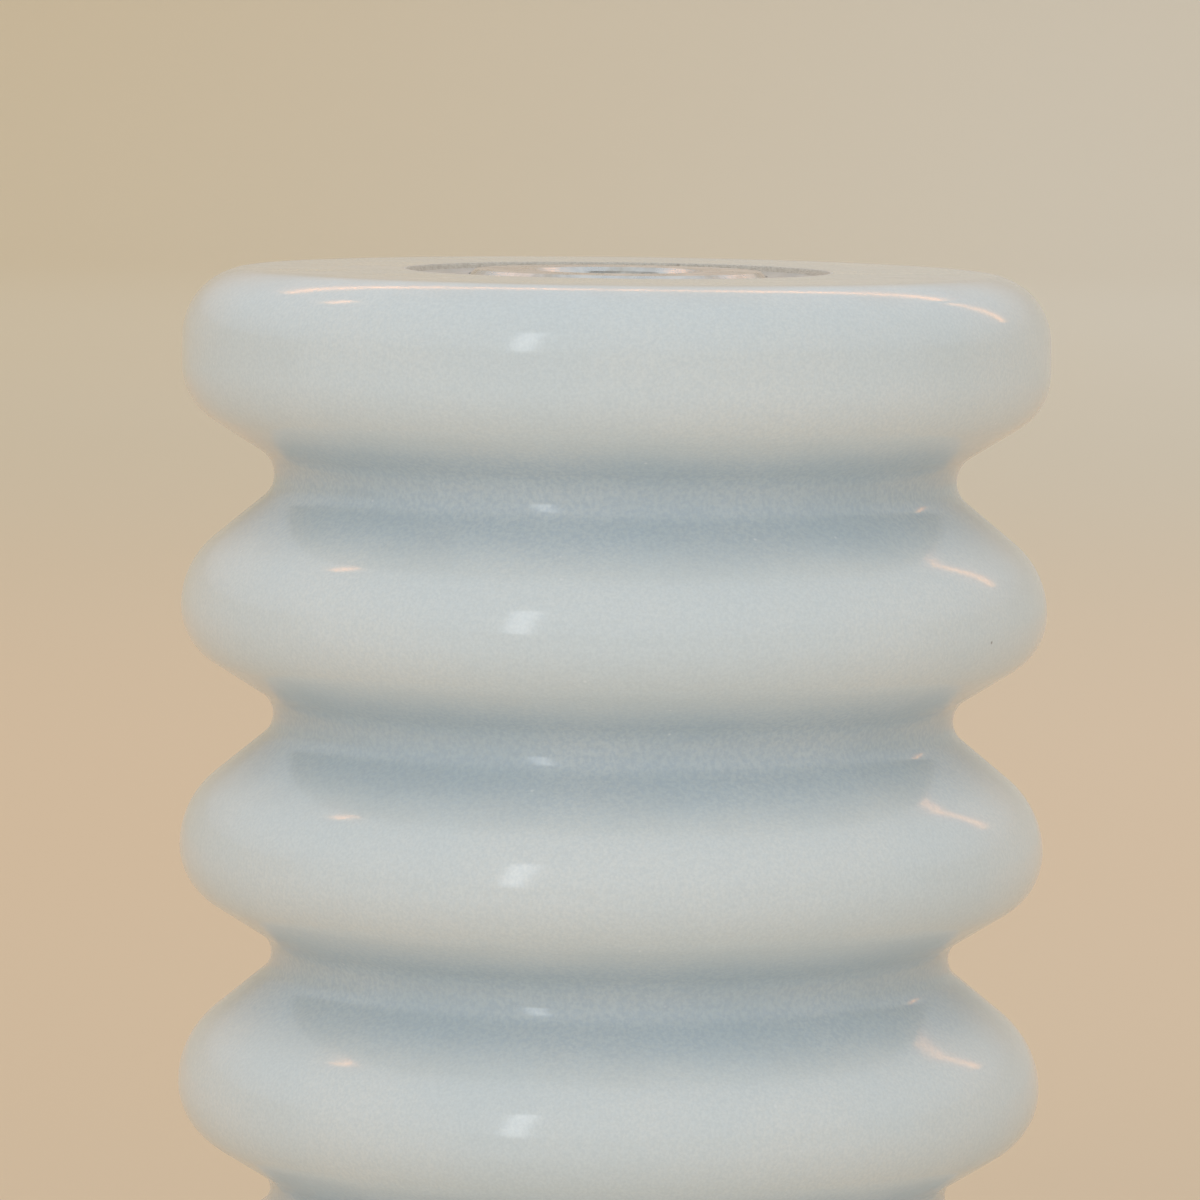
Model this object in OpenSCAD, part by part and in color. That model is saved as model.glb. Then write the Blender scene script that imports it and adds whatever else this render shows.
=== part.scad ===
// Porcelain post insulator: a corrugated, glazed body with a threaded metal fitting
// cemented into a socket in each end. The head takes the live part, the foot the earthed frame.
// The foot stands on the plane z = 0, with the axis along Z.

/* [Porcelain body] */
// Height from the foot plane to the head plane
height = 95; // [78:1:160]
// Diameter over the ribs
rib_d = 64; // [54:0.5:90]
// Diameter at the bottom of the grooves
neck_d = 50.4; // [42:0.2:60]
// Distance from one rib to the next
rib_pitch = 17.7; // [13:0.1:24]
// How far each rib's nose lies below the middle of its pitch
rib_droop = 0.8; // [0:0.1:1.5]
// Radius of the ribs' rounded underside
nose_r = 4.6; // [2:0.1:6]
// Radius of the rounded top side of each rib below the head
nose_top_r = 6.4; // [2:0.1:8]
// Radius of the grooves' rounded bottom
groove_r = 2.2; // [1.5:0.1:5]
// Depth of the first rib's nose below the head plane
head_drop = 7.15; // [4:0.05:12]
// Radius of the head's rounded edge
head_edge_r = 5; // [1:0.1:6]

/* [Foot] */
// How far the foot's rim stands in from the ribs
foot_inset = 0.5; // [0:0.1:3]
// Least height of the foot's straight rim
foot_land = 1.3; // [0.5:0.1:8]
// Height of the flank between the last groove and the foot's shoulder
foot_flank = 0.8; // [0.2:0.1:3]
// Radius of the foot's shoulder
shoulder_r = 1.8; // [0.5:0.1:4]
// Radius of the foot's lower edge
foot_edge_r = 1; // [0.2:0.1:2]

/* [Head fitting] */
// Outside diameter of the head fitting
head_fitting_d = 22; // [17:0.5:30]
// Length of the head fitting
head_fitting_len = 26; // [18:0.5:34]
// Tapping bore of the head thread, M12
head_bore_d = 10.2; // [6.8:0.1:14]

/* [Foot fitting] */
// Outside diameter of the foot fitting
foot_fitting_d = 27; // [20:0.5:34]
// Length of the foot fitting
foot_fitting_len = 30; // [20:0.5:36]
// Tapping bore of the foot thread, M16
foot_bore_d = 14; // [8.5:0.1:18]

/* [Fitting details] */
// Metal left under each bore's drill point
floor_t = 3; // [1:0.5:6]
// Lead-in at the mouth of each thread
lead_in = 1.2; // [0.3:0.1:2]
// Bevel round each fitting's outer edges
fitting_bevel = 0.5; // [0.2:0.1:1]
// Plain collar at the mouth end of each fitting
collar_h = 5; // [4:0.5:8]
// Width of the ring grooves that the cement keys into
key_w = 5; // [3:0.5:8]
// Plain land between the ring grooves
key_land = 4; // [2:0.5:8]
// Depth of the ring grooves
key_depth = 1.2; // [0.5:0.1:1.8]
// Length of each ring groove's sloped side
key_slope = 1; // [0.3:0.1:1.4]
// Number of flutes that stop a fitting turning
flute_count = 6; // [3:1:8]
// Radius of the flutes
flute_r = 2.5; // [1.5:0.1:4]
// Depth of the flutes
flute_depth = 2; // [0.5:0.1:2.4]
// How far the flutes run up into the plain collar
flute_margin = 1.5; // [0.5:0.1:1.8]

/* [Sockets] */
// Thickness of the bitumen coat on each fitting
coat_t = 0.4; // [0.2:0.1:1]
// Thickness of the cement round each coat
cement_t = 3.4; // [2:0.1:5]
// Thickness of the grit band fused to the socket wall
grit_t = 0.7; // [0.3:0.1:1.5]
// How far the grit band stops short of the cement's ends
grit_margin = 3; // [1:0.5:6]
// Thickness of the cork cushion at the socket's floor
cushion_t = 2; // [1:0.1:4]
// Thickness of the sealing ring over the cement
seal_t = 1.6; // [0.8:0.1:2.5]
// Depth of the sealing ring below the end face
seal_recess = 0.5; // [0.2:0.1:1]
// Bevel round each socket's mouth
mouth_bevel = 0.8; // [0.2:0.1:2]

/* [Hidden] */
$fn = 96;
arc_steps = 12;
// How far a cutting shape runs past the face that it cuts
overcut = 1;
// Angle of the drill point at the end of each bore
drill_point = 118;
// Most of the drop from a nose to a groove that their two radii may fill
round_limit = 0.96;
// Least straight wall under the head's rounded edge
head_land = 0.2;

rib_r = rib_d / 2;
foot_r = rib_r - foot_inset;
groove_drop = rib_pitch / 2 - rib_droop;
groove_rise = rib_pitch - groove_drop;
// Where the ribs stand too close, the rounded radii shrink together to keep a flank between them
round_share = min(1, round_limit * groove_drop / (nose_r + groove_r),
    round_limit * groove_rise / (nose_top_r + groove_r));
nose_round = nose_r * round_share;
nose_top_round = nose_top_r * round_share;
groove_round = groove_r * round_share;
head_round = min(head_edge_r, head_drop - head_land);
shoulder_drop = groove_round + foot_flank + shoulder_r;
foot_min_h = shoulder_drop + foot_land + foot_edge_r;
// As many ribs as the height holds above the foot, whose rim takes up what is left
rib_count = 1 + floor((height - head_drop - groove_drop - foot_min_h) / rib_pitch);
last_groove_z = groove_at(rib_count - 1)[1];

head_socket_r = head_fitting_d / 2 + coat_t + cement_t;
foot_socket_r = foot_fitting_d / 2 + coat_t + cement_t;
seal_bottom = seal_recess + seal_t;

porcelain_colour = [0.78, 0.80, 0.80];
metal_colour = [0.62, 0.63, 0.64];
bitumen_colour = [0.08, 0.08, 0.08];
cement_colour = [0.66, 0.65, 0.61];
grit_colour = [0.86, 0.84, 0.79];
cork_colour = [0.66, 0.48, 0.31];
seal_colour = [0.72, 0.71, 0.69];

// Centres of the nose and groove circles in the body's half section, counted from the head
function nose_at(i) = [rib_r - nose_round, height - head_drop - i * rib_pitch];
function nose_top_at(i) = [rib_r - nose_top_round, nose_at(i)[1]];
function groove_at(i) = [neck_d / 2 + groove_round, nose_at(i)[1] - groove_drop];
function shoulder() = [foot_r - shoulder_r, last_groove_z - shoulder_drop];

// Points along an arc from angle a to angle b, all of them or from the given one on
function arc(centre, r, a, b, first = 0) = [
    for (k = [first : arc_steps])
        let (t = a + (b - a) * k / arc_steps)
        centre + r * [cos(t), sin(t)]
];

// Angle at which the straight flank to a groove leaves a rounded edge: side 1 below it, -1 above it
function flank(edge, groove, edge_r, side) =
    atan2(groove[1] - edge[1], groove[0] - edge[0])
    + side * acos((edge_r + groove_round) / norm(groove - edge));

function flank_below(i) = flank(nose_at(i), groove_at(i), nose_round, 1);
function flank_above(i) = i < rib_count
    ? flank(nose_top_at(i), groove_at(i - 1), nose_top_round, -1)
    : flank(shoulder(), groove_at(i - 1), shoulder_r, -1);

// Half section of one rib's nose and the groove under it
function rib_points(i) = concat(
    i == 0 ? [] : arc(nose_top_at(i), nose_top_round, flank_above(i), 0),
    arc(nose_at(i), nose_round, 0, flank_below(i), i == 0 ? 0 : 1),
    arc(groove_at(i), groove_round, flank_below(i) + 180, flank_above(i + 1) + 180)
);

function body_outline() = concat(
    arc([rib_r - head_round, height - head_round], head_round, 90, 0),
    [for (i = [0 : rib_count - 1]) each rib_points(i)],
    arc(shoulder(), shoulder_r, flank_above(rib_count), 0),
    arc([foot_r - foot_edge_r, foot_edge_r], foot_edge_r, 0, -90)
);

// Half section of a socket that opens at z = 0 and runs down to the given depth
function socket_outline(r, depth) = [
    [r + mouth_bevel, 0], [r, -mouth_bevel], [r, -depth], [0, -depth],
];

// Side of a fitting from its collar down, with a ring groove wherever a whole one fits
function fitting_side(r, len) = concat(
    [for (i = [0 : floor((len - collar_h) / (key_w + key_land)) - 1])
        let (top = collar_h + i * (key_w + key_land))
        each [
            [r, -top],
            [r - key_depth, -top - key_slope],
            [r - key_depth, -top - key_w + key_slope],
            [r, -top - key_w],
        ]
    ],
    [[r, -len + fitting_bevel], [r - fitting_bevel, -len]]
);

// Flutes down the side of a fitting, narrowed by the thickness of what lies in them
module flutes(r, len, coat) {
    top = collar_h - flute_margin + coat;
    for (i = [0 : flute_count - 1])
        rotate([0, 0, i * 360 / flute_count])
            translate([r + flute_r - flute_depth, 0, -len - overcut])
                cylinder(r = flute_r - coat, h = len + overcut - top);
}

// Solid with the outside shape of a coated fitting, used for the coat and to clear the cement
module coated_form(d, len, coat, top, below) {
    r = d / 2 + coat;
    difference() {
        rotate_extrude()
            polygon(concat([[0, -top], [r, -top]], fitting_side(r, len),
                [[r - fitting_bevel, -len - below], [0, -len - below]]));
        flutes(d / 2, len + below, coat);
    }
}

// This piece and those round it are made with the socket's mouth up and the end face at z = 0
module fitting(d, len, bore_d) {
    r = d / 2;
    bore_r = bore_d / 2;
    tip = bore_r / tan(drill_point / 2);
    bore_depth = len - floor_t - tip;
    color(metal_colour) difference() {
        rotate_extrude()
            polygon(concat([[0, 0], [r - fitting_bevel, 0], [r, -fitting_bevel]],
                fitting_side(r, len), [[0, -len]]));
        flutes(r, len, 0);
        rotate_extrude()
            polygon([[0, overcut], [bore_r + lead_in + overcut, overcut], [bore_r, -lead_in],
                [bore_r, -bore_depth], [0, -bore_depth - tip]]);
    }
}

// Bitumen between the fitting and its cement, up to the sealing ring
module coat(d, len) {
    color(bitumen_colour) difference() {
        coated_form(d, len, coat_t, seal_bottom, 0);
        coated_form(d, len, 0, 0, overcut);
    }
}

module grit_ring(inner_r, outer_r, len) {
    rotate_extrude()
        polygon([[inner_r, -len + grit_margin], [outer_r, -len + grit_margin],
            [outer_r, -seal_bottom - grit_margin], [inner_r, -seal_bottom - grit_margin]]);
}

module grit(socket_r, len) {
    color(grit_colour) grit_ring(socket_r - grit_t, socket_r, len);
}

// Cement round the coated fitting, keyed over the grit band
module cement(socket_r, d, len) {
    color(cement_colour) difference() {
        translate([0, 0, -len]) cylinder(r = socket_r, h = len - seal_bottom);
        grit_ring(socket_r - grit_t, socket_r + overcut, len);
        coated_form(d, len, coat_t, 0, overcut);
    }
}

module cushion(socket_r, len) {
    color(cork_colour) translate([0, 0, -len - cushion_t]) cylinder(r = socket_r, h = cushion_t);
}

module seal(socket_r, d) {
    color(seal_colour) translate([0, 0, -seal_bottom]) difference() {
        cylinder(r = socket_r, h = seal_t);
        translate([0, 0, -overcut]) cylinder(d = d, h = seal_t + 2 * overcut);
    }
}

// Place a piece at the head, or turned over at the foot
module at_head() {
    translate([0, 0, height]) children();
}

module at_foot() {
    rotate([180, 0, 0]) children();
}

module porcelain_body() {
    head_socket = socket_outline(head_socket_r, head_fitting_len + cushion_t);
    foot_socket = socket_outline(foot_socket_r, foot_fitting_len + cushion_t);
    color(porcelain_colour) rotate_extrude()
        polygon(concat(
            body_outline(),
            [for (p = foot_socket) [p[0], -p[1]]],
            [for (i = [len(head_socket) - 1 : -1 : 0]) head_socket[i] + [0, height]]
        ));
}

porcelain_body();

at_head() fitting(head_fitting_d, head_fitting_len, head_bore_d);  // head_fitting
at_head() coat(head_fitting_d, head_fitting_len);  // head_coat
at_head() cement(head_socket_r, head_fitting_d, head_fitting_len);  // head_cement
at_head() grit(head_socket_r, head_fitting_len);  // head_grit
at_head() cushion(head_socket_r, head_fitting_len);  // head_cushion
at_head() seal(head_socket_r, head_fitting_d);  // head_seal

at_foot() fitting(foot_fitting_d, foot_fitting_len, foot_bore_d);  // foot_fitting
at_foot() coat(foot_fitting_d, foot_fitting_len);  // foot_coat
at_foot() cement(foot_socket_r, foot_fitting_d, foot_fitting_len);  // foot_cement
at_foot() grit(foot_socket_r, foot_fitting_len);  // foot_grit
at_foot() cushion(foot_socket_r, foot_fitting_len);  // foot_cushion
at_foot() seal(foot_socket_r, foot_fitting_d);  // foot_seal
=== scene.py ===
import math

import bmesh
import bpy
from mathutils import Matrix, Vector, noise


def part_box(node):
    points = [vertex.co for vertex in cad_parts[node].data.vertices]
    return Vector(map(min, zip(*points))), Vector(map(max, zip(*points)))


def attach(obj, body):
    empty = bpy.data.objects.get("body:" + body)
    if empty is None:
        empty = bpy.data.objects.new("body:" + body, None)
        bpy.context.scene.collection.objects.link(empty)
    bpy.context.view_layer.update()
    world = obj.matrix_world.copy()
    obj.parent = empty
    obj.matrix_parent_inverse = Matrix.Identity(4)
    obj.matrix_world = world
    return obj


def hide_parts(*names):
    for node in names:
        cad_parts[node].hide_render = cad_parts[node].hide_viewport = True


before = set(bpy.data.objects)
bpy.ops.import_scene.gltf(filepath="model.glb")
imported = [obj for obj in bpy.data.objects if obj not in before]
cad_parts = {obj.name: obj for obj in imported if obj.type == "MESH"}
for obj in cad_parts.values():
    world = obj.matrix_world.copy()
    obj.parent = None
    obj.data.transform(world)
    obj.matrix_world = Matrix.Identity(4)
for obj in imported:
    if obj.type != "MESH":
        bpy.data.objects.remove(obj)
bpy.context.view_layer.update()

# Camera
# A long lens a little above the head, aimed down so that the foot lies below the view.

body_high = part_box("porcelain_body")[1]
height = body_high.z
rib_r = body_high.x

eye_distance = 0.460
eye_height = height + 0.0175
aimed_left = math.radians(0.13)
aimed_down = math.radians(5.2)
rolled = math.radians(0.67)
camera_data = bpy.data.cameras.new("camera")
camera_data.sensor_width = 36
camera_data.lens = 187.6
camera_data.clip_start = 0.01
camera_data.clip_end = 50
camera = bpy.data.objects.new("camera", camera_data)
bpy.context.scene.collection.objects.link(camera)
camera.matrix_world = (
    Matrix.Translation((0, -eye_distance, eye_height))
    @ Matrix.Rotation(aimed_left, 4, "Z")
    @ Matrix.Rotation(math.pi / 2 - aimed_down, 4, "X")
    @ Matrix.Rotation(rolled, 4, "Z")
)
bpy.context.scene.camera = camera

# Porcelain body
# Turned from one plug of wet clay, dipped in glaze and fired standing on its foot. Five ribs and a foot
# disc stand round a solid core, with a blind socket in each end left bare of glaze.

neck_r = 0.0252
rib_pitch = 0.0177
rib_droop = 0.0008
nose_r = 0.0046
nose_top_r = 0.0064
groove_r = 0.0022
head_drop = 0.00715
head_edge_r = 0.005
rib_count = 5
foot_r = rib_r - 0.0005
shoulder_r = 0.0018
shoulder_gap = 0.0008
shoulder_drop = groove_r + shoulder_gap + shoulder_r
foot_edge_r = 0.001
mouth_bevel = 0.0008
groove_drop = rib_pitch / 2 - rib_droop


def flank_angle(edge, groove, edge_r, side):
    """Angle at which the straight flank to a groove leaves a rounded edge: side 1 below it, -1 above."""
    towards = groove - edge
    return math.atan2(towards.y, towards.x) + side * math.acos((edge_r + groove_r) / towards.length)


def start_outline(r, z):
    """A mesh with the first point of a half section, at radius r and height z."""
    outline = bmesh.new()
    end = bmesh.ops.create_vert(outline, co=(r, 0, z))["vert"][0]
    return outline, end


def line_to(outline, end, r, z, steps=1):
    """Carries the half section on in a straight line, in equal steps."""
    start = end.co.copy()
    for step in range(steps):
        end = bmesh.ops.extrude_vert_indiv(outline, verts=[end])["verts"][0]
        end.co = start.lerp(Vector((r, 0, z)), (step + 1) / steps)
    return end


def arc_about(outline, end, r, z, angle, steps):
    """Carries the half section on along an arc about a centre; a positive angle turns from r towards z."""
    turned = bmesh.ops.spin(
        outline, geom=[end], cent=(r, 0, z), axis=(0, 1, 0), angle=-angle, steps=steps, use_duplicate=False
    )
    return turned["geom_last"][0]


def turn_outline(outline, steps):
    """Turns the half section once round the axis into a closed skin."""
    bmesh.ops.spin(
        outline,
        geom=outline.verts[:] + outline.edges[:],
        cent=(0, 0, 0),
        axis=(0, 0, 1),
        angle=math.tau,
        steps=steps,
        use_merge=True,
        use_duplicate=False,
    )
    bmesh.ops.remove_doubles(outline, verts=outline.verts, dist=1e-7)
    bmesh.ops.recalc_face_normals(outline, faces=outline.faces)


def finish_piece(name, mesh_edit, sharp_from, material):
    """Puts a finished mesh in the scene, smooth but for edges sharper than the given angle."""
    for face in mesh_edit.faces:
        face.smooth = True
    for edge in mesh_edit.edges:
        edge.smooth = len(edge.link_faces) < 2 or edge.calc_face_angle(0) < math.radians(sharp_from)
    mesh = bpy.data.meshes.new(name)
    mesh_edit.to_mesh(mesh)
    mesh_edit.free()
    mesh.materials.append(material)
    piece = bpy.data.objects.new(name, mesh)
    bpy.context.scene.collection.objects.link(piece)
    return piece


head_socket_low, head_socket_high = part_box("head_cushion")
foot_socket_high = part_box("foot_cushion")[1]
head_socket_r = head_socket_high.x
foot_socket_r = foot_socket_high.x

noses = [Vector((rib_r - nose_r, height - head_drop - i * rib_pitch)) for i in range(rib_count)]
grooves = [Vector((neck_r + groove_r, nose.y - groove_drop)) for nose in noses]
shoulder = Vector((foot_r - shoulder_r, grooves[-1].y - shoulder_drop))

outline, end = start_outline(0, head_socket_low.z)
end = line_to(outline, end, head_socket_r, head_socket_low.z, 4)
end = line_to(outline, end, head_socket_r, height - mouth_bevel, 8)
end = line_to(outline, end, head_socket_r + mouth_bevel, height, 2)
end = line_to(outline, end, rib_r - head_edge_r, height, 10)
end = arc_about(outline, end, rib_r - head_edge_r, height - head_edge_r, -math.pi / 2, 14)
end = line_to(outline, end, rib_r, noses[0].y, 2)
for i in range(rib_count):
    nose, groove = noses[i], grooves[i]
    below = flank_angle(nose, groove, nose_r, 1)
    end = arc_about(outline, end, nose.x, nose.y, below, 8)
    foot_of_flank = groove - groove_r * Vector((math.cos(below), math.sin(below)))
    end = line_to(outline, end, foot_of_flank.x, foot_of_flank.y, 3)
    if i + 1 < rib_count:
        next_edge, next_r = Vector((rib_r - nose_top_r, noses[i + 1].y)), nose_top_r
    else:
        next_edge, next_r = shoulder, shoulder_r
    leave = flank_angle(next_edge, groove, next_r, -1)
    end = arc_about(outline, end, groove.x, groove.y, leave - below, 12)
    top_of_flank = next_edge + next_r * Vector((math.cos(leave), math.sin(leave)))
    end = line_to(outline, end, top_of_flank.x, top_of_flank.y, 3)
    end = arc_about(outline, end, next_edge.x, next_edge.y, -leave, 8)
end = line_to(outline, end, foot_r, foot_edge_r, 2)
end = arc_about(outline, end, foot_r - foot_edge_r, foot_edge_r, -math.pi / 2, 5)
end = line_to(outline, end, foot_socket_r + mouth_bevel, 0, 8)
end = line_to(outline, end, foot_socket_r, mouth_bevel, 2)
end = line_to(outline, end, foot_socket_r, foot_socket_high.z, 8)
end = line_to(outline, end, 0, foot_socket_high.z, 4)
turn_outline(outline, 288)

# The turned skin is never quite round: it wanders inwards by up to the run-out, but not on its seats
run_out = 0.00016
socket_rim = 0.002
foot_seat_h = 0.0004
head_seat_h = 0.0002
for point in outline.verts:
    r = math.hypot(point.co.x, point.co.y)
    if r > foot_socket_r + socket_rim and foot_seat_h < point.co.z < height - head_seat_h:
        wander = noise.noise(Vector((point.co.x * 55, point.co.y * 55, point.co.z * 95)))
        ripple = noise.noise(Vector((point.co.x * 260, point.co.y * 260, point.co.z * 420 + 7)))
        inwards = run_out * (0.5 + 0.42 * wander + 0.08 * ripple)
        point.co.x -= inwards * point.co.x / r
        point.co.y -= inwards * point.co.y / r


def new_finish(name, roughness=0.5, metallic=0.0):
    """A new material with its node tree, its shader and the place on the piece."""
    finish = bpy.data.materials.new(name)
    finish.use_nodes = True
    shader = finish.node_tree.nodes["Principled BSDF"]
    shader.inputs["Roughness"].default_value = roughness
    shader.inputs["Metallic"].default_value = metallic
    place = finish.node_tree.nodes.new("ShaderNodeTexCoord").outputs["Object"]
    return finish, finish.node_tree, shader, place


def put(tree, kind, sockets=(), **settings):
    """Adds a node, with its settings, and fills its sockets in order; None leaves one alone."""
    added = tree.nodes.new(kind)
    for name, value in settings.items():
        setattr(added, name, value)
    for socket, value in zip(added.inputs, sockets):
        if isinstance(value, bpy.types.NodeSocket):
            tree.links.new(value, socket)
        elif value is not None:
            socket.default_value = value
    return added


def sums(tree, operation, *values):
    """The result of a Math node."""
    return put(tree, "ShaderNodeMath", values, operation=operation).outputs[0]


def out_from_axis(tree, place):
    """Distance from the upright axis, and height, of a place."""
    x, y, z = put(tree, "ShaderNodeSeparateXYZ", (place,)).outputs
    squares = sums(tree, "ADD", sums(tree, "MULTIPLY", x, x), sums(tree, "MULTIPLY", y, y))
    return sums(tree, "POWER", squares, 0.5), z


def ease(tree, value, low, high, at_low=0.0, at_high=1.0):
    """A smooth step of a value from one number to another."""
    limits = (value, low, high, at_low, at_high)
    return put(tree, "ShaderNodeMapRange", limits, interpolation_type="SMOOTHSTEP").outputs[0]


def cloud(tree, place, scale, detail=2.0, roughness=0.5):
    """Soft noise of about 0.5, with this many bumps to the metre."""
    made = put(tree, "ShaderNodeTexNoise", (place, None, scale, detail, roughness))
    return made.outputs[0]


def blend(tree, mask, first, second):
    """One colour turning into another where the mask is white."""
    mixed = tree.nodes.new("ShaderNodeMix")
    mixed.data_type = "RGBA"
    for index, value in ((0, mask), (6, first), (7, second)):
        if isinstance(value, bpy.types.NodeSocket):
            tree.links.new(value, mixed.inputs[index])
        else:
            mixed.inputs[index].default_value = value
    return mixed.outputs[2]


def raised(tree, height_value, distance, strength=1.0, normal=None):
    """A normal raised by a height that runs from 0 to 1."""
    bump = tree.nodes.new("ShaderNodeBump")
    bump.inputs["Strength"].default_value = strength
    bump.inputs["Distance"].default_value = distance
    tree.links.new(height_value, bump.inputs["Height"])
    if normal is not None:
        tree.links.new(normal, bump.inputs["Normal"])
    return bump.outputs["Normal"]


def new_effect(name, inputs, outputs):
    """A shared node group with number inputs, given with their usual values, and number outputs."""
    effect = bpy.data.node_groups.new(name, "ShaderNodeTree")
    effect.interface.new_socket("Place", in_out="INPUT", socket_type="NodeSocketVector")
    for socket_name, value in inputs:
        socket = effect.interface.new_socket(socket_name, in_out="INPUT", socket_type="NodeSocketFloat")
        socket.default_value = value
    for socket_name in outputs:
        effect.interface.new_socket(socket_name, in_out="OUTPUT", socket_type="NodeSocketFloat")
    return effect, effect.nodes.new("NodeGroupInput"), effect.nodes.new("NodeGroupOutput")


def use_effect(tree, effect, place, *values):
    """Places a shared effect in a material and gives its outputs."""
    added = tree.nodes.new("ShaderNodeGroup")
    added.node_tree = effect
    tree.links.new(place, added.inputs[0])
    for socket, value in zip(added.inputs[1:], values):
        socket.default_value = value
    return added.outputs


# Specks: small spots, each in its own cell, of which only a share is there
specks, given, result = new_effect("specks", (("Scale", 400), ("Share", 0.1), ("Size", 0.2)), ("Mask",))
cells = put(specks, "ShaderNodeTexVoronoi", (given.outputs[0], None, given.outputs[1]))
lot = put(specks, "ShaderNodeSeparateColor", (cells.outputs[1],)).outputs[0]
picked = sums(specks, "LESS_THAN", lot, given.outputs[2])
spot = ease(specks, cells.outputs[0], 0.0, given.outputs[3], 1.0, 0.0)
specks.links.new(sums(specks, "MULTIPLY", spot, picked), result.inputs[0])

# Settled dust: a thin film in patches, on faces that look up
dust, given, result = new_effect("settled_dust", (("Scale", 90), ("Amount", 0.5)), ("Mask",))
normal = put(dust, "ShaderNodeNewGeometry").outputs["Normal"]
facing = put(dust, "ShaderNodeSeparateXYZ", (normal,)).outputs[2]
upward = ease(dust, facing, 0.6, 0.98)
patches = ease(dust, cloud(dust, given.outputs[0], given.outputs[1], 5, 0.65), 0.38, 0.66)
film = sums(dust, "MULTIPLY", sums(dust, "MULTIPLY", upward, patches), given.outputs[2])
dust.links.new(film, result.inputs[0])

glaze, tree, shader, place = new_finish("glazed_porcelain", 0.13)
radius, z = out_from_axis(tree, place)

# The glaze runs thick and blue in the grooves and thin and white over the ribs
drift = sums(tree, "MULTIPLY_ADD", cloud(tree, place, 130, 3), 0.0016, -0.0008)
pool_r = 0.0262
thin_r = 0.0302
pooled = ease(tree, sums(tree, "ADD", radius, drift), pool_r, thin_r, 1.0, 0.0)
pool_from = height - 0.0125
head_side_from = height - 0.0095
below_head = ease(tree, z, pool_from, head_side_from, 1.0, 0.0)
pooled = sums(tree, "MULTIPLY", pooled, below_head)
broad = ease(tree, cloud(tree, place, 75, 3), 0.30, 0.70)
mottle = ease(tree, cloud(tree, place, 3000, 3, 0.6), 0.36, 0.66)
grain = ease(tree, cloud(tree, place, 4600, 2, 0.6), 0.30, 0.70)
rib_colour = blend(tree, broad, (0.715, 0.765, 0.77, 1), (0.765, 0.79, 0.775, 1))
rib_colour = blend(tree, sums(tree, "MULTIPLY", mottle, 0.35), rib_colour, (0.65, 0.715, 0.745, 1))
pool_colour = blend(tree, broad, (0.575, 0.655, 0.69, 1), (0.63, 0.69, 0.71, 1))
pool_colour = blend(tree, sums(tree, "MULTIPLY", mottle, 0.55), pool_colour, (0.46, 0.55, 0.63, 1))
colour = blend(tree, pooled, rib_colour, pool_colour)
colour = blend(tree, sums(tree, "MULTIPLY", grain, 0.16), colour, (0.42, 0.46, 0.47, 1))
pale_specks = use_effect(tree, specks, place, 520, 0.10, 0.10)[0]
dark_specks = use_effect(tree, specks, place, 260, 0.05, 0.05)[0]
colour = blend(tree, sums(tree, "MULTIPLY", pale_specks, 0.7), colour, (0.86, 0.88, 0.88, 1))
colour = blend(tree, sums(tree, "MULTIPLY", dark_specks, 0.8), colour, (0.16, 0.12, 0.09, 1))
film = use_effect(tree, dust, place, 140, 0.14)[0]
colour = blend(tree, film, colour, (0.52, 0.46, 0.38, 1))

# Bare fired clay in the sockets and on the ring that the foot stands on
bare_rim = 0.0006
glazed_rim = 0.0012
foot_side_h = 0.045
in_socket = ease(tree, radius, head_socket_r + bare_rim, head_socket_r + glazed_rim, 1.0, 0.0)
in_foot = ease(tree, radius, foot_socket_r + bare_rim, foot_socket_r + glazed_rim, 1.0, 0.0)
lower_half = ease(tree, z, foot_side_h, foot_side_h + 0.001, 1.0, 0.0)
in_foot = sums(tree, "MULTIPLY", in_foot, lower_half)
on_foot = ease(tree, z, 0.0002, 0.0006, 1.0, 0.0)
bare = sums(tree, "MAXIMUM", sums(tree, "MAXIMUM", in_socket, in_foot), on_foot)
clay = blend(tree, mottle, (0.66, 0.61, 0.53, 1), (0.55, 0.50, 0.43, 1))
clay = blend(tree, use_effect(tree, specks, place, 900, 0.16, 0.22)[0], clay, (0.24, 0.19, 0.14, 1))
tree.links.new(blend(tree, bare, colour, clay), shader.inputs["Base Color"])
shine = sums(tree, "ADD", sums(tree, "MULTIPLY_ADD", mottle, 0.05, 0.10), sums(tree, "MULTIPLY", film, 0.5))
tree.links.new(sums(tree, "MAXIMUM", shine, sums(tree, "MULTIPLY", bare, 0.85)), shader.inputs["Roughness"])
skin = raised(tree, cloud(tree, place, 330, 2), 0.00003, 0.35)
skin = raised(tree, cloud(tree, place, 1900, 2), 0.000006, 0.35, skin)
skin = raised(tree, sums(tree, "SUBTRACT", 1.0, pale_specks), 0.00004, 0.4, skin)
skin = raised(tree, sums(tree, "MULTIPLY", grain, bare), 0.0001, 0.7, skin)
tree.links.new(skin, shader.inputs["Normal"])

body = finish_piece("porcelain_glaze", outline, 40, glaze)
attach(body, "root")
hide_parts("porcelain_body")

# Head and foot fittings
# Turned from steel bar, bored and tapped, then zinc plated. Ring grooves and flutes down the side key
# each one to the cement that holds it in its socket.

bevel = 0.0005
collar_h = 0.005
key_w = 0.005
key_land = 0.004
key_depth = 0.0012
key_slope = 0.001
flute_count = 6
flute_r = 0.0025
flute_depth = 0.002
flute_top = 0.0035
flute_step = 0.0001
lead_in = 0.0012
bore_floor = 0.003
drill_point = math.radians(59)
rows_a_turn = 12
crest_flat = 0.25
root_flat = 0.125


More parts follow.
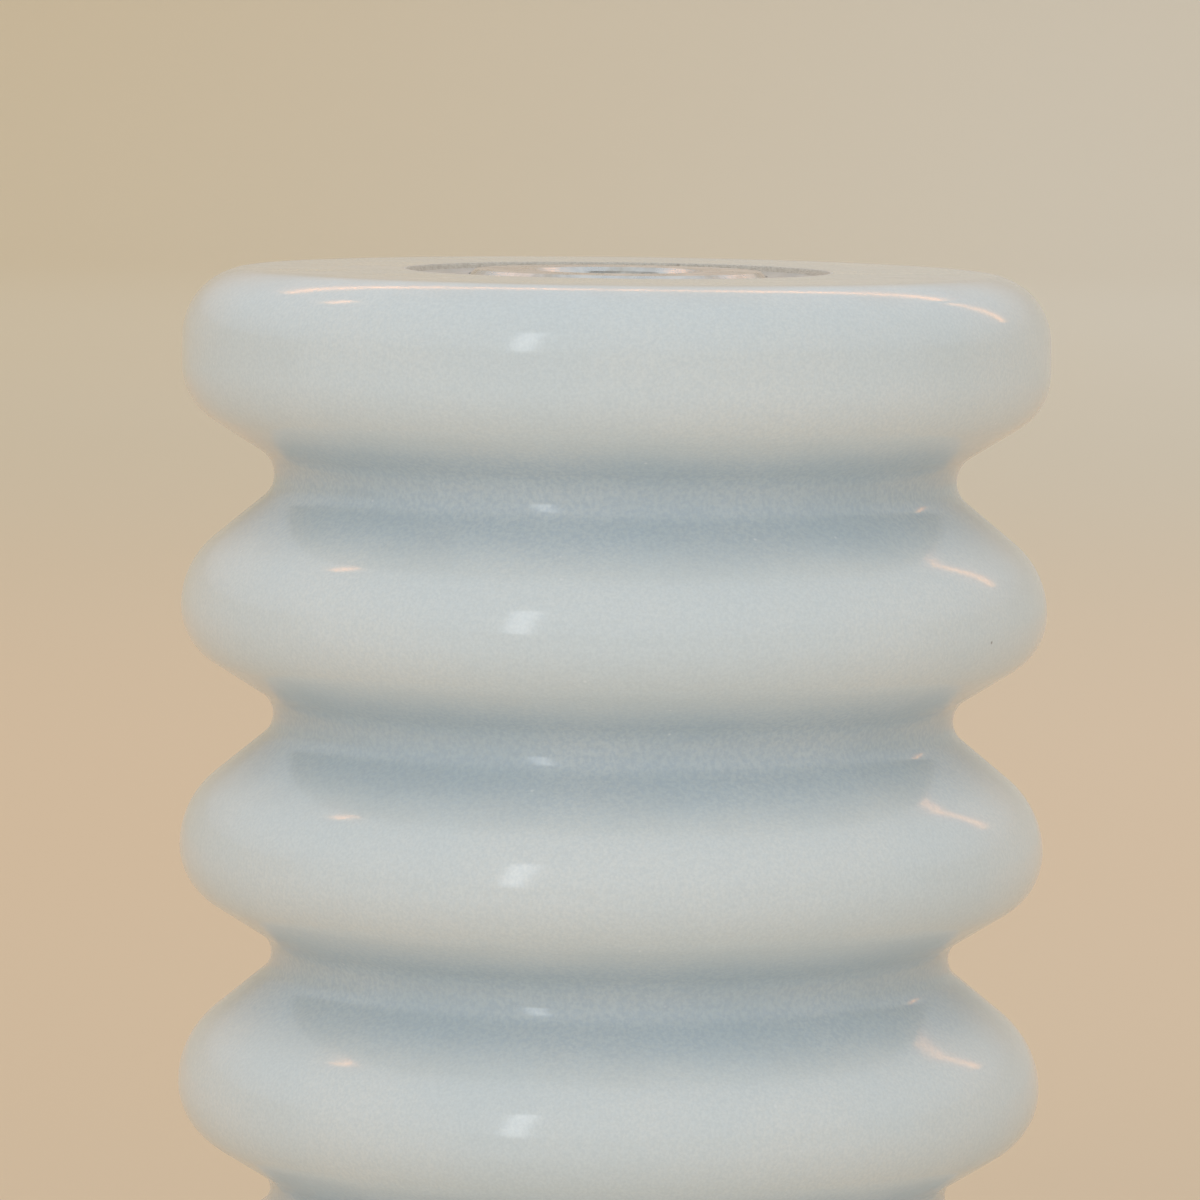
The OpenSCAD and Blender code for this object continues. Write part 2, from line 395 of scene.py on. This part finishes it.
def thread_depth(z, angle, pitch):
    """Depth of a right-hand thread's groove, from 0 on the crest to 1 at the root."""
    turn = (z / pitch - angle / math.tau) % 1
    return min(1, max(0, (1 - crest_flat - abs(2 * turn - 1)) / (1 - crest_flat - root_flat)))


def turn_fitting(r, length, bore_r, root_r, pitch):
    """A fitting with its end face on z = 0 and its body below it, threaded inside."""
    tip = bore_r / math.tan(drill_point)
    bore_depth = length - bore_floor - tip
    rows = round((bore_depth - lead_in) / pitch * rows_a_turn)
    outline, end = start_outline(0, -bore_depth - tip)
    end = line_to(outline, end, bore_r, -bore_depth, 4)
    end = line_to(outline, end, bore_r, -lead_in, rows)
    end = line_to(outline, end, bore_r + lead_in, 0, 8)
    end = line_to(outline, end, r - bevel, 0, 8)
    end = line_to(outline, end, r, -bevel, 2)
    end = line_to(outline, end, r, -flute_top, 2)
    end = line_to(outline, end, r, -flute_top - flute_step)
    end = line_to(outline, end, r, -collar_h)
    for ring in range(int((length - collar_h) / (key_w + key_land))):
        top = -collar_h - ring * (key_w + key_land)
        end = line_to(outline, end, r - key_depth, top - key_slope, 2)
        end = line_to(outline, end, r - key_depth, top - key_w + key_slope, 3)
        end = line_to(outline, end, r, top - key_w, 2)
        if top - key_w - key_land > -length + bevel:
            end = line_to(outline, end, r, top - key_w - key_land, 3)
    end = line_to(outline, end, r, -length + bevel, 2)
    end = line_to(outline, end, r - bevel, -length, 2)
    end = line_to(outline, end, 0, -length, 5)
    turn_outline(outline, 144)
    for point in outline.verts:
        across = math.hypot(point.co.x, point.co.y)
        angle = math.atan2(point.co.y, point.co.x)
        z = point.co.z
        if across < 1e-6:
            continue
        moved = across
        if across < bore_r + lead_in - 1e-6 and z > -bore_depth:
            fade = min(1, (z + bore_depth) / (1.5 * pitch))
            moved = max(across, bore_r + (root_r - bore_r) * fade * thread_depth(z, angle, pitch))
        elif z < -flute_top - flute_step / 2 and across > r - key_depth - 1e-5:
            off = (angle + math.pi / flute_count) % (math.tau / flute_count) - math.pi / flute_count
            centre = r + flute_r - flute_depth
            inside = flute_r ** 2 - (centre * math.sin(off)) ** 2
            if inside > 0:
                moved = min(across, centre * math.cos(off) - math.sqrt(inside))
        point.co.x *= moved / across
        point.co.y *= moved / across
    bmesh.ops.recalc_face_normals(outline, faces=outline.faces)
    return outline


def set_in_end(mesh_edit, end_name):
    """Moves a piece that hangs below z = 0 to the head, or turns it over into the foot."""
    if end_name == "head":
        bmesh.ops.translate(mesh_edit, verts=mesh_edit.verts, vec=(0, 0, height))
    else:
        over = Matrix.Rotation(math.pi, 3, "X")
        bmesh.ops.rotate(mesh_edit, verts=mesh_edit.verts, cent=(0, 0, 0), matrix=over)


zinc, tree, shader, place = new_finish("zinc_plated_steel", 0.35, 1.0)
radius = out_from_axis(tree, place)[0]
tool_mark_rate = 42000
tool_waves = sums(tree, "SINE", sums(tree, "MULTIPLY", radius, tool_mark_rate))
tool_marks = sums(tree, "MULTIPLY_ADD", tool_waves, 0.5, 0.5)
spangle = ease(tree, cloud(tree, place, 700, 4, 0.6), 0.32, 0.68)
stain = ease(tree, cloud(tree, place, 220, 5, 0.65), 0.46, 0.68)
plate = blend(tree, spangle, (0.66, 0.68, 0.69, 1), (0.78, 0.78, 0.76, 1))
plate = blend(tree, sums(tree, "MULTIPLY", stain, 0.6), plate, (0.50, 0.46, 0.38, 1))
film = use_effect(tree, dust, place, 260, 0.5)[0]
plate = blend(tree, film, plate, (0.50, 0.45, 0.38, 1))
tree.links.new(plate, shader.inputs["Base Color"])
tree.links.new(sums(tree, "SUBTRACT", 1.0, sums(tree, "MULTIPLY", film, 0.8)), shader.inputs["Metallic"])
polish = sums(tree, "MULTIPLY_ADD", spangle, 0.14, 0.24)
polish = sums(tree, "ADD", polish, sums(tree, "MULTIPLY", stain, 0.2))
tree.links.new(polish, shader.inputs["Roughness"])
skin = raised(tree, tool_marks, 0.00001, 0.5)
skin = raised(tree, cloud(tree, place, 1600, 3), 0.00003, 0.4, skin)
tree.links.new(skin, shader.inputs["Normal"])

threads = (("head", 0.0051, 0.0060, 0.00175), ("foot", 0.0070, 0.0080, 0.0020))
for end_name, bore_r, root_r, pitch in threads:
    low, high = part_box(end_name + "_fitting")
    fitting = turn_fitting(high.x, high.z - low.z, bore_r, root_r, pitch)
    set_in_end(fitting, end_name)
    piece = finish_piece(end_name + "_threaded_fitting", fitting, 25, zinc)
    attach(piece, "root")
    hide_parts(end_name + "_fitting")

# Sealing rings
# A soft, pale grey sealant, poured over the cement. It is drawn up a little where it wets the metal and
# the clay.

seal_climb = 0.00015
seal_sag = 0.00025
seal_ripple = 0.00008
seal_skin = 0.0003
seal_edge = 0.0001


def pour_seal(inner_r, outer_r, top, bottom):
    """A ring of sealant in a socket whose mouth is at z = 0."""
    middle = (inner_r + outer_r) / 2
    half = (outer_r - inner_r) / 2
    outline, end = start_outline(inner_r, bottom)
    end = line_to(outline, end, inner_r, top + seal_climb, 3)
    for step in range(1, 17):
        across = -1 + step / 8
        surface = top - seal_sag + (seal_climb + seal_sag) * across ** 4
        end = line_to(outline, end, middle + across * half, surface)
    end = line_to(outline, end, outer_r, bottom, 3)
    end = line_to(outline, end, inner_r, bottom, 3)
    turn_outline(outline, 120)
    for point in outline.verts:
        r = math.hypot(point.co.x, point.co.y)
        if point.co.z > top - seal_skin and inner_r + seal_edge < r < outer_r - seal_edge:
            point.co.z += seal_ripple * noise.noise(point.co * 420)
    return outline


sealant, tree, shader, place = new_finish("sealant", 0.45)
flow = ease(tree, cloud(tree, place, 500, 3), 0.3, 0.7)
rubber = blend(tree, flow, (0.49, 0.48, 0.45, 1), (0.56, 0.55, 0.52, 1))
bubbles = use_effect(tree, specks, place, 900, 0.10, 0.20)[0]
rubber = blend(tree, sums(tree, "MULTIPLY", bubbles, 0.6), rubber, (0.30, 0.29, 0.27, 1))
film = use_effect(tree, dust, place, 300, 0.8)[0]
rubber = blend(tree, film, rubber, (0.60, 0.55, 0.47, 1))
tree.links.new(rubber, shader.inputs["Base Color"])
tree.links.new(sums(tree, "MULTIPLY_ADD", film, 0.4, 0.42), shader.inputs["Roughness"])
skin = raised(tree, cloud(tree, place, 900, 3), 0.00008, 0.5)
skin = raised(tree, sums(tree, "SUBTRACT", 1.0, bubbles), 0.00006, 0.5, skin)
tree.links.new(skin, shader.inputs["Normal"])

for end_name in ("head", "foot"):
    low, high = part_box(end_name + "_seal")
    fitting_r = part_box(end_name + "_fitting")[1].x
    recess = height - high.z if end_name == "head" else low.z
    ring = pour_seal(fitting_r, high.x, -recess, -recess - (high.z - low.z))
    set_in_end(ring, end_name)
    piece = finish_piece(end_name + "_sealing_ring", ring, 50, sealant)
    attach(piece, "root")
    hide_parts(end_name + "_seal")

# Bitumen coats
# Each fitting is dipped in bitumen before it is cemented in, so that the cement can't crack the porcelain.


def give_finish(node_name, finish):
    """Gives a CAD piece its finish."""
    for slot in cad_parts[node_name].material_slots:
        slot.material = finish


bitumen, tree, shader, place = new_finish("bitumen", 0.3)
sag = ease(tree, cloud(tree, place, 380, 3), 0.3, 0.7)
tar = blend(tree, sag, (0.010, 0.009, 0.008, 1), (0.028, 0.024, 0.020, 1))
tree.links.new(tar, shader.inputs["Base Color"])
tree.links.new(sums(tree, "MULTIPLY_ADD", sag, 0.22, 0.2), shader.inputs["Roughness"])
tree.links.new(raised(tree, sag, 0.0001, 0.5), shader.inputs["Normal"])
give_finish("head_coat", bitumen)
give_finish("foot_coat", bitumen)

# Cement
# Portland cement and fine sand, rammed round each fitting and left to cure under water.

cement, tree, shader, place = new_finish("cement", 0.9)
tone = ease(tree, cloud(tree, place, 260, 4), 0.3, 0.7)
sand = use_effect(tree, specks, place, 1500, 0.45, 0.45)[0]
pores = use_effect(tree, specks, place, 700, 0.15, 0.22)[0]
mortar = blend(tree, tone, (0.34, 0.33, 0.30, 1), (0.45, 0.44, 0.41, 1))
mortar = blend(tree, sums(tree, "MULTIPLY", sand, 0.5), mortar, (0.58, 0.53, 0.44, 1))
mortar = blend(tree, pores, mortar, (0.13, 0.125, 0.12, 1))
tree.links.new(mortar, shader.inputs["Base Color"])
skin = raised(tree, sand, 0.0001, 0.6)
skin = raised(tree, sums(tree, "SUBTRACT", 1.0, pores), 0.0002, 0.7, skin)
tree.links.new(skin, shader.inputs["Normal"])
give_finish("head_cement", cement)
give_finish("foot_cement", cement)

# Grit bands
# Crushed porcelain, glued to the socket walls with glaze and fired on, for the cement to grip.

grit, tree, shader, place = new_finish("porcelain_grit", 0.6)
chips = put(tree, "ShaderNodeTexVoronoi", (place, None, 1500))
chip_tone = put(tree, "ShaderNodeSeparateColor", (chips.outputs[1],)).outputs[0]
crushed = blend(tree, chip_tone, (0.52, 0.49, 0.44, 1), (0.80, 0.78, 0.73, 1))
tree.links.new(crushed, shader.inputs["Base Color"])
tree.links.new(sums(tree, "MULTIPLY_ADD", chip_tone, 0.5, 0.3), shader.inputs["Roughness"])
skin = raised(tree, sums(tree, "SUBTRACT", 1.0, chips.outputs[0]), 0.0003, 0.8)
tree.links.new(skin, shader.inputs["Normal"])
give_finish("head_grit", grit)
give_finish("foot_grit", grit)

# Cork cushions
# A disc of pressed cork granules under each fitting takes up the swelling of the cement.

cork, tree, shader, place = new_finish("cork", 0.85)
granules = put(tree, "ShaderNodeTexVoronoi", (place, None, 620))
tone = put(tree, "ShaderNodeSeparateColor", (granules.outputs[1],)).outputs[0]
bark = blend(tree, tone, (0.30, 0.17, 0.08, 1), (0.56, 0.37, 0.20, 1))
bark = blend(tree, use_effect(tree, specks, place, 800, 0.2, 0.3)[0], bark, (0.10, 0.05, 0.025, 1))
seams = sums(tree, "MULTIPLY", ease(tree, granules.outputs[0], 0.35, 0.75), 0.7)
bark = blend(tree, seams, bark, (0.13, 0.07, 0.035, 1))
tree.links.new(bark, shader.inputs["Base Color"])
skin = raised(tree, sums(tree, "SUBTRACT", 1.0, granules.outputs[0]), 0.0002, 0.6)
tree.links.new(raised(tree, cloud(tree, place, 2200, 3), 0.00005, 0.5, skin), shader.inputs["Normal"])
give_finish("head_cushion", cork)
give_finish("foot_cushion", cork)

# Studio
# A round pale floor that sweeps up into a low rim, under an even pale sky, with three warm lamps behind
# the piece, a cool one to the left of the camera and a dim soft box behind the camera.

floor_r = 2.5
rim_r = 0.6
floor_edit, end = start_outline(0, 0)
end = line_to(floor_edit, end, floor_r, 0, 10)
arc_about(floor_edit, end, floor_r, rim_r, math.pi / 2, 12)
turn_outline(floor_edit, 96)
paint, tree, shader, place = new_finish("pale_floor", 0.8)
across, along = put(tree, "ShaderNodeSeparateXYZ", (place,)).outputs[:2]
tone = sums(tree, "ADD", across, sums(tree, "MULTIPLY_ADD", cloud(tree, place, 1.3, 2), 0.2, -0.1))
tone = ease(tree, tone, -0.40, 0.30)
# Painted shade: the floor is painted darker and more yellow near the piece and fades to its own colour far
# off, to hold back the brighter light that falls close to the piece
near_painted_shade = blend(tree, tone, (0.72, 0.56, 0.365, 1), (0.735, 0.615, 0.455, 1))
far = blend(tree, tone, (0.775, 0.625, 0.425, 1), (0.81, 0.71, 0.57, 1))
board_with_painted_shade = blend(tree, ease(tree, along, 0.2, 2.2), near_painted_shade, far)
front = ease(tree, along, -0.25, 0.10, 1.0, 0.0)
tree.links.new(blend(tree, front, board_with_painted_shade, (0.94, 0.92, 0.88, 1)), shader.inputs["Base Color"])
floor = finish_piece("floor", floor_edit, 60, paint)


def add_lamp(name, start, end, depth, power, colour):
    """A strip lamp between two points, this deep, turned to face the head."""
    start, end = Vector(start), Vector(end)
    light = bpy.data.lights.new(name, "AREA")
    light.shape = "RECTANGLE"
    light.size = (end - start).length
    light.size_y = depth
    light.energy = power
    light.color = colour
    lamp = bpy.data.objects.new(name, light)
    bpy.context.scene.collection.objects.link(lamp)
    middle = (start + end) / 2
    along = (end - start).normalized()
    back = middle - Vector((0, 0, height))
    back = (back - back.dot(along) * along).normalized()
    turn = Matrix((along, back.cross(along), back)).transposed()
    lamp.matrix_world = Matrix.Translation(middle) @ turn.to_4x4()
    lamp.visible_camera = False


add_lamp("warm_tube", (-0.48, 0.62, 0.68), (0.47, 0.62, 0.68), 0.035, 0.65, (1.0, 0.36, 0.05))
add_lamp("warm_side_tube", (0.52, 0.59, 0.68), (0.655, 0.555, 0.375), 0.04, 0.15, (1.0, 0.37, 0.06))
add_lamp("warm_left_tube", (-0.63, 0.34, 0.79), (-0.55, 0.33, 0.86), 0.04, 0.12, (1.0, 0.40, 0.10))
add_lamp("cool_lamp", (-0.47, -0.88, 0.50), (-0.36, -0.93, 0.50), 0.56, 0.72, (0.86, 0.93, 1.0))
add_lamp("soft_box", (-1.2, -1.9, 0.75), (1.4, -1.9, 0.75), 1.4, 0.5, (0.95, 0.98, 1.0))

world = bpy.data.worlds.new("studio")
bpy.context.scene.world = world
world.use_nodes = True
sky = world.node_tree
outwards = sky.nodes.new("ShaderNodeTexCoord").outputs["Generated"]
direction = put(sky, "ShaderNodeSeparateXYZ", (outwards,)).outputs
opening = ease(sky, sums(sky, "MULTIPLY_ADD", direction[1], -0.35, direction[2]), -0.35, 0.5)
glow = sky.nodes["Background"]
sky.links.new(blend(sky, opening, (0.70, 0.53, 0.34, 1), (0.97, 1.0, 1.02, 1)), glow.inputs["Color"])
glow.inputs["Strength"].default_value = 0.78
bpy.context.scene.view_settings.view_transform = "Standard"
